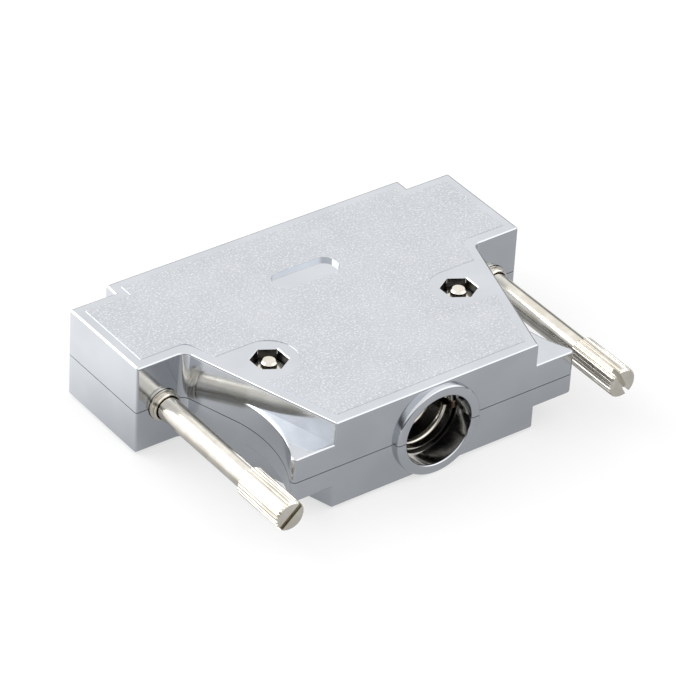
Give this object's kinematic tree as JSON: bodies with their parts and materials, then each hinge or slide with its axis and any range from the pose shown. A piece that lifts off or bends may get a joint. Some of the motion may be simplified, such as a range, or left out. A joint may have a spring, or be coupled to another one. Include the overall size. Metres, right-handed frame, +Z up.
{
  "type": "d-sub hood",
  "caption": "Split metallised hood that closes over the rear of a D-subminiature connector, clamps its cable in a round entry and fixes the plug with long knurled jackscrews.",
  "frame": {"origin": "middle of the plane inside the hood that the connector's flange seats on, level with the parting plane of the shells", "axes": "+Y out of the mating side, the cable leaves towards -Y; +X to the right seen from the cable side with the label recess up; +Z up, out of the face with the hexagon nuts"},
  "size_m": [0.0734, 0.0551, 0.0164],
  "materials": {
    "metallised_plastic": "satin silver metal plating on moulded plastic; raised fields finely grained, borders and walls smooth and half mirror-like",
    "nickel_plated_steel": "bright nickel plating with a warm tone, turned and pressed parts"
  },
  "bodies": {
    "hood": {"upper_shell": "metallised_plastic", "lower_shell": "metallised_plastic", "left_screw_bush": "nickel_plated_steel", "right_screw_bush": "nickel_plated_steel", "left_case_screw": "nickel_plated_steel", "right_case_screw": "nickel_plated_steel", "left_case_nut": "nickel_plated_steel", "right_case_nut": "nickel_plated_steel", "upper_cable_saddle": "nickel_plated_steel", "lower_cable_saddle": "nickel_plated_steel", "left_clamp_screw": "nickel_plated_steel", "right_clamp_screw": "nickel_plated_steel"},
    "left_ring": {"left_retaining_ring": "nickel_plated_steel"},
    "left_screw": {"left_jackscrew": "nickel_plated_steel"},
    "right_ring": {"right_retaining_ring": "nickel_plated_steel"},
    "right_screw": {"right_jackscrew": "nickel_plated_steel"}
  },
  "joints": [
    {"name": "left_screw_travel", "type": "slide", "parent": "hood", "child": "left_ring", "axis": [0, 1, 0], "range_m": [0, 0.01]},
    {"name": "left_screw_turn", "type": "hinge", "parent": "left_ring", "child": "left_screw", "pos_m": [-0.03175, -0.0145, 0], "axis": [0, 1, 0], "continuous": true},
    {"name": "right_screw_travel", "type": "slide", "parent": "hood", "child": "right_ring", "axis": [0, 1, 0], "range_m": [0, 0.01]},
    {"name": "right_screw_turn", "type": "hinge", "parent": "right_ring", "child": "right_screw", "pos_m": [0.03175, -0.0145, 0], "axis": [0, 1, 0], "continuous": true}
  ]
}
